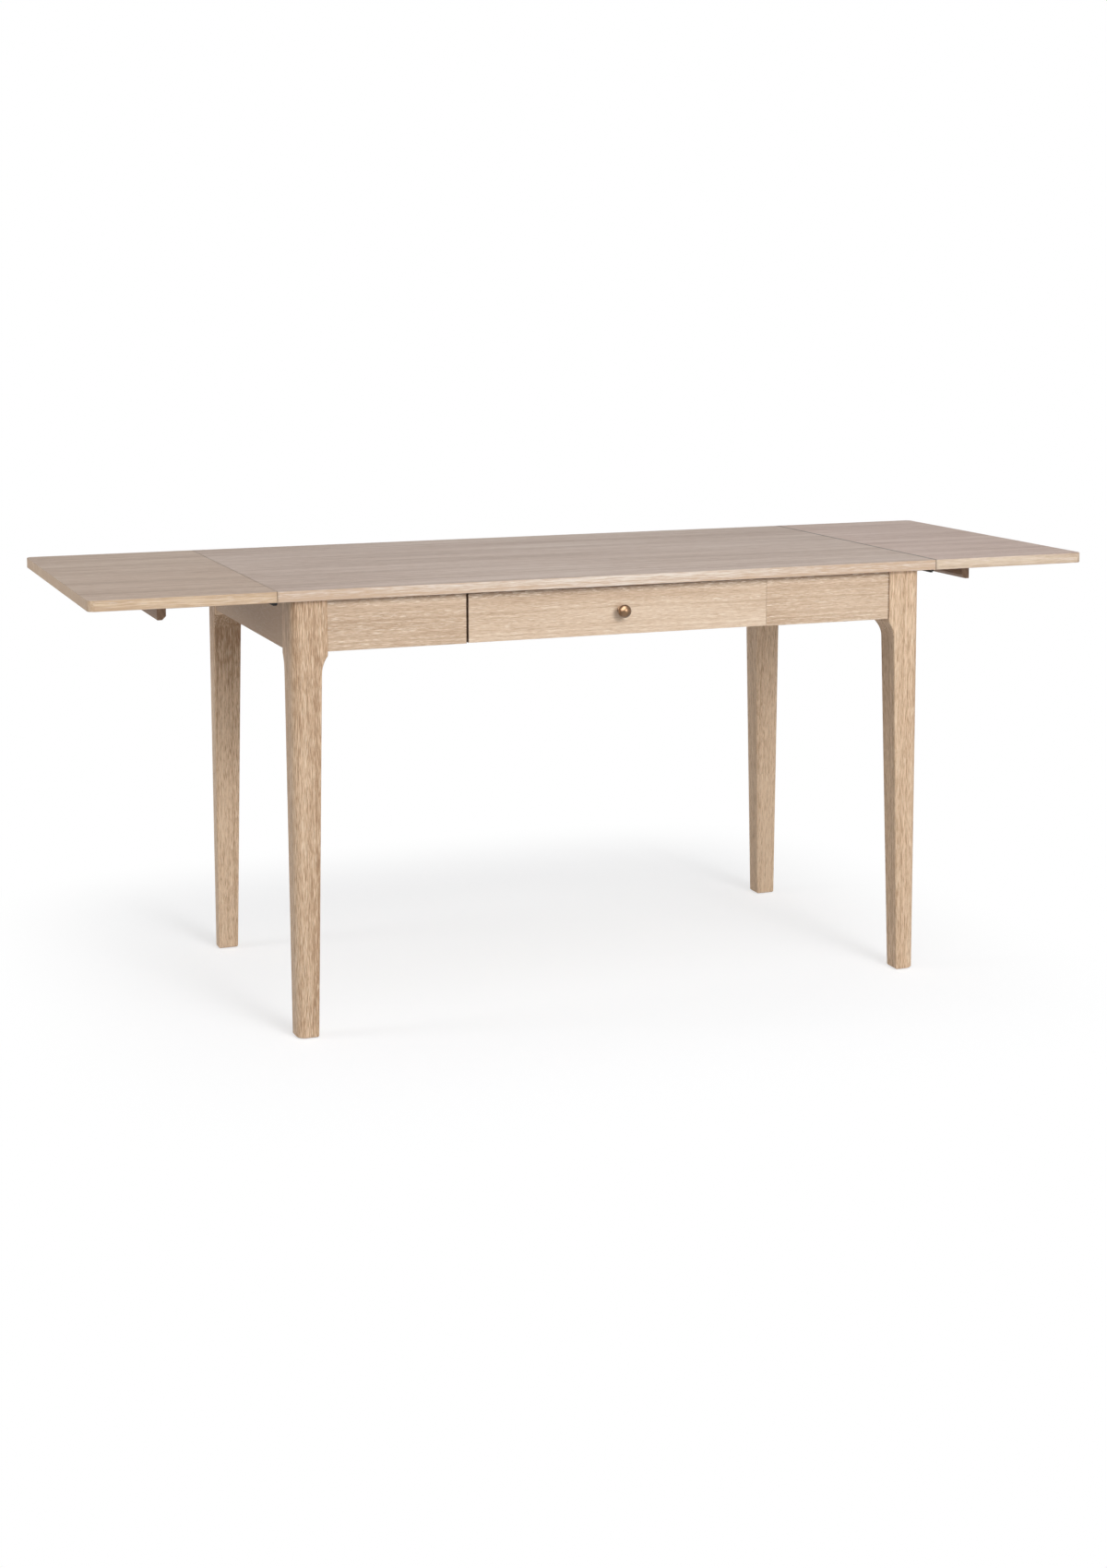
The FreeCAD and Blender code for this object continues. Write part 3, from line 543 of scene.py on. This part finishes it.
def screw_head():
    """Makes one head, standing on its base with its axis up, and returns its points and faces."""
    shape = bmesh.new()
    turns = [2 * math.pi * step / HEAD_SIDES for step in range(HEAD_SIDES)]
    rings = []
    for radius, height in HEAD_PROFILE:
        places = [(radius * math.cos(turn), radius * math.sin(turn), height) for turn in turns]
        rings.append([shape.verts.new(place) for place in places])
    for lower, upper in zip(rings, rings[1:]):
        for step in range(HEAD_SIDES):
            shape.faces.new((lower[step - 1], lower[step], upper[step], upper[step - 1]))
    shape.faces.new(rings[0])

    reach = RECESS_REACH
    half = RECESS_HALF_WIDTH
    arm = ((reach, -half), (reach, half), (half, half))
    outline = []
    for quarter in range(4):
        for x, y in arm:
            for _ in range(quarter):
                x, y = -y, x
            outline.append((x, y))
    mouth = [shape.verts.new((x, y, CROWN_HEIGHT)) for x, y in outline]
    bottom = [shape.verts.new((x * RECESS_NARROWING, y * RECESS_NARROWING, CROWN_HEIGHT - RECESS_DEPTH))
              for x, y in outline]
    for step in range(len(outline)):
        shape.faces.new((mouth[step - 1], mouth[step], bottom[step], bottom[step - 1]))
    shape.faces.new(bottom)

    crown = [shape.edges.get((loop[step - 1], loop[step])) for loop in (rings[-1], mouth)
             for step in range(len(loop))]
    bmesh.ops.triangle_fill(shape, use_beauty=True, edges=crown)
    bmesh.ops.recalc_face_normals(shape, faces=shape.faces)
    shape.verts.index_update()
    points = [point.co.copy() for point in shape.verts]
    faces = [[point.index for point in face.verts] for face in shape.faces]
    shape.free()
    return points, faces


def screw_places():
    """Lists where screws sit and the way that their heads face, by the body that they hold to."""
    places = {body: [] for body in ("frame", "drawer", "leaf_left", "leaf_right")}
    for name in nodes:
        low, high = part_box(name)
        middle = (low + high) / 2
        if name.startswith("bearer_guide"):
            for y in (low.y + GUIDE_CHEEK_MIDDLE, high.y - GUIDE_CHEEK_MIDDLE):
                places["frame"].append((Vector((middle.x, y, low.z)), DOWN))
        elif name.startswith("seam_sockets"):
            x = min(low.x, high.x, key=abs) + math.copysign(PLATE_MIDDLE, middle.x)
            for y in FITTING_SCREWS:
                places["frame"].append((Vector((x, y, high.z - PLATE_THICK)), DOWN))
        elif name.startswith("leaf_tongues"):
            leaf = name.replace("_tongues", "")
            x = max(low.x, high.x, key=abs) - math.copysign(PLATE_MIDDLE, middle.x)
            for y in FITTING_SCREWS:
                places[leaf].append((Vector((x, y, high.z - PLATE_THICK)), DOWN))
        elif name == "top_angles":
            half_leg = (ANGLE_LEG + ANGLE_THICK) / 2
            spots = [(Vector((x, high.y, high.z)), Vector((0, -1, 0))) for x in ANGLE_PLACES]
            spots += [(Vector((x, 0, high.z)), Vector((-math.copysign(1, x), 0, 0))) for x in (low.x, high.x)]
            for corner, inward in spots:
                places["frame"].append((corner + inward * ANGLE_THICK + DOWN * half_leg, inward))
                places["frame"].append((corner + inward * half_leg + DOWN * ANGLE_THICK, DOWN))
        elif name == "drawer_floor":
            for x in DRAWER_FLOOR_SCREWS:
                places["drawer"].append((Vector((x, high.y - DRAWER_BACK_MIDDLE, low.z)), DOWN))
    return places


def screws(finish):
    """Adds the screws, as one piece for each body."""
    points, faces = screw_head()
    for body, spots in screw_places().items():
        all_points = []
        all_faces = []
        for number, (place, facing) in enumerate(spots):
            turn = facing.to_track_quat("Z", "Y").to_matrix() @ Matrix.Rotation(SCREW_TURN * number, 3, "Z")
            start = len(all_points)
            all_points += [place + turn @ point for point in points]
            all_faces += [[start + index for index in face] for face in faces]
        mesh = bpy.data.meshes.new(f"screws_{body}")
        mesh.from_pydata(all_points, [], all_faces)
        mesh.materials.append(finish)
        item = bpy.data.objects.new(f"screws_{body}", mesh)
        bpy.context.scene.collection.objects.link(item)
        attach(item, body)


def seen_rays(tree):
    """Gives 1 for rays that show the white around as it is: from the camera, off gloss and through glass."""
    path = tree.nodes.new("ShaderNodeLightPath")
    seen = path.outputs["Is Camera Ray"]
    for name in ("Is Glossy Ray", "Is Transmission Ray"):
        either = tree.nodes.new("ShaderNodeMath")
        either.operation = "MAXIMUM"
        tree.links.new(seen, either.inputs[0])
        tree.links.new(path.outputs[name], either.inputs[1])
        seen = either.outputs[0]
    return seen


# Stage: a pale floor that fades into the white around it, outside a rounded square under the desk
FLOOR_SIZE = 16.0
FLOOR_CLEAR = 0.0005
FLOOR_COLOUR = (238, 240, 243)
FLOOR_GLOW = 0.37
FLOOR_WHITE = 0.37
SHADE_CENTRE = (-0.04, 0.04, 0.0)
SHADE_REACH = (0.95, 0.95, 1.0)
FADE_START = 0.5
FADE_END = 1.05


def floor():
    graph = Graph("floor")
    tree = graph.tree
    across = graph.vector("DIVIDE", graph.vector("SUBTRACT", graph.point(), SHADE_CENTRE), SHADE_REACH)
    squared = graph.vector("MULTIPLY", across, across)
    away = graph.math("SQRT", graph.vector("LENGTH", squared))
    fade = graph.between(away, FADE_START, FADE_END, FLOOR_WHITE, 1.0)
    seen = seen_rays(tree)
    graph.set(
        Base_Color=colour(*FLOOR_COLOUR),
        Roughness=1.0,
        Specular_IOR_Level=0.0,
        Emission_Color=WHITE,
        Emission_Strength=graph.math("MULTIPLY", seen, FLOOR_GLOW),
    )
    white = graph.add("Emission", Color=WHITE, Strength=1.0)
    mixed = tree.nodes.new("ShaderNodeMixShader")
    graph.feed(mixed.inputs[0], graph.math("MULTIPLY", fade, seen))
    graph.feed(mixed.inputs[1], graph.shader.outputs["BSDF"])
    graph.feed(mixed.inputs[2], white)
    graph.feed(tree.nodes["Material Output"].inputs["Surface"], mixed.outputs["Shader"])
    half = FLOOR_SIZE / 2
    corners = [(-half, -half, 0), (half, -half, 0), (half, half, 0), (-half, half, 0)]
    mesh = bpy.data.meshes.new("floor")
    mesh.from_pydata(corners, [], [(0, 1, 2, 3)])
    mesh.materials.append(graph.material)
    item = bpy.data.objects.new("floor", mesh)
    item.location.z = cad_box[0].z - FLOOR_CLEAR
    bpy.context.scene.collection.objects.link(item)


# Light: soft white all round, a large lamp low in front with a firmer core, a small one overhead
# and a weak one on the left; a card that lights one node alone and only shows in its gloss
ROUND_LIGHT = 0.24
LAMPS = {
    "key": {"azimuth": 10, "elevation": 22, "distance": 7.0, "size": 5.0, "power": 180},
    "core": {"azimuth": 9, "elevation": 26, "distance": 7.0, "size": 1.9, "power": 131},
    "overhead": {"azimuth": -20, "elevation": 62, "distance": 2.6, "size": 1.2, "power": 7},
    "fill": {"azimuth": -95, "elevation": 14, "distance": 6.0, "size": 2.0, "power": 66},
    "card": {"azimuth": -70, "elevation": 60, "distance": 2.6, "size": 4.4, "power": 360, "node": "knob"},
}
AIM = Vector((0, 0, 0.55))


def lights():
    world = bpy.data.worlds.new("studio")
    bpy.context.scene.world = world
    world.use_nodes = True
    tree = world.node_tree
    background = tree.nodes["Background"]
    background.inputs["Color"].default_value = WHITE
    strength = tree.nodes.new("ShaderNodeMapRange")
    strength.inputs["To Min"].default_value = ROUND_LIGHT
    strength.inputs["To Max"].default_value = 1.0
    tree.links.new(seen_rays(tree), strength.inputs["Value"])
    tree.links.new(strength.outputs["Result"], background.inputs["Strength"])
    for name, plan in LAMPS.items():
        azimuth = math.radians(plan["azimuth"])
        elevation = math.radians(plan["elevation"])
        towards = Vector((math.sin(azimuth) * math.cos(elevation), -math.cos(azimuth) * math.cos(elevation),
                          math.sin(elevation)))
        lamp = bpy.data.lights.new(name, "AREA")
        lamp.shape = "DISK"
        lamp.size = plan["size"]
        lamp.energy = plan["power"]
        item = bpy.data.objects.new(name, lamp)
        item.location = AIM + towards * plan["distance"]
        item.rotation_euler = (-towards).to_track_quat("-Z", "Y").to_euler()
        if "node" in plan:
            item.visible_diffuse = False
            item.light_linking.receiver_collection = bpy.data.collections.new(f"{name}_receivers")
            item.light_linking.receiver_collection.objects.link(nodes[plan["node"]])
        bpy.context.scene.collection.objects.link(item)


# Camera: where the photograph was taken from, and how its frame lies about the lens axis
PHOTO_WIDTH = 1200
PHOTO_HEIGHT = 1700
LENS_PIXELS = 2609.9
AXIS_PIXEL = (628.8, 635.3)
CAMERA_PLACE = Vector((-1.5280, -4.0723, 1.2434))
YAW = math.radians(21.125)
PITCH = math.radians(7.214)
ROLL = math.radians(-0.099)
SENSOR = 36.0


def camera():
    forward = Vector((math.sin(YAW) * math.cos(PITCH), math.cos(YAW) * math.cos(PITCH), -math.sin(PITCH)))
    level = Vector((math.cos(YAW), -math.sin(YAW), 0))
    upright = level.cross(forward)
    right = level * math.cos(ROLL) + upright * math.sin(ROLL)
    up = upright * math.cos(ROLL) - level * math.sin(ROLL)
    data = bpy.data.cameras.new("camera")
    long_side = max(PHOTO_WIDTH, PHOTO_HEIGHT)
    data.sensor_width = SENSOR
    data.lens = LENS_PIXELS * SENSOR / long_side
    data.shift_x = (PHOTO_WIDTH / 2 - AXIS_PIXEL[0]) / long_side
    data.shift_y = (AXIS_PIXEL[1] - PHOTO_HEIGHT / 2) / long_side
    item = bpy.data.objects.new("camera", data)
    turn = Matrix((right, up, -forward)).transposed().to_4x4()
    item.matrix_world = Matrix.Translation(CAMERA_PLACE) @ turn
    bpy.context.scene.collection.objects.link(item)
    bpy.context.scene.camera = item


finishes = finish_nodes()
screws(finishes["steel"])
floor()
lights()
camera()
bpy.context.scene.view_settings.view_transform = "Standard"
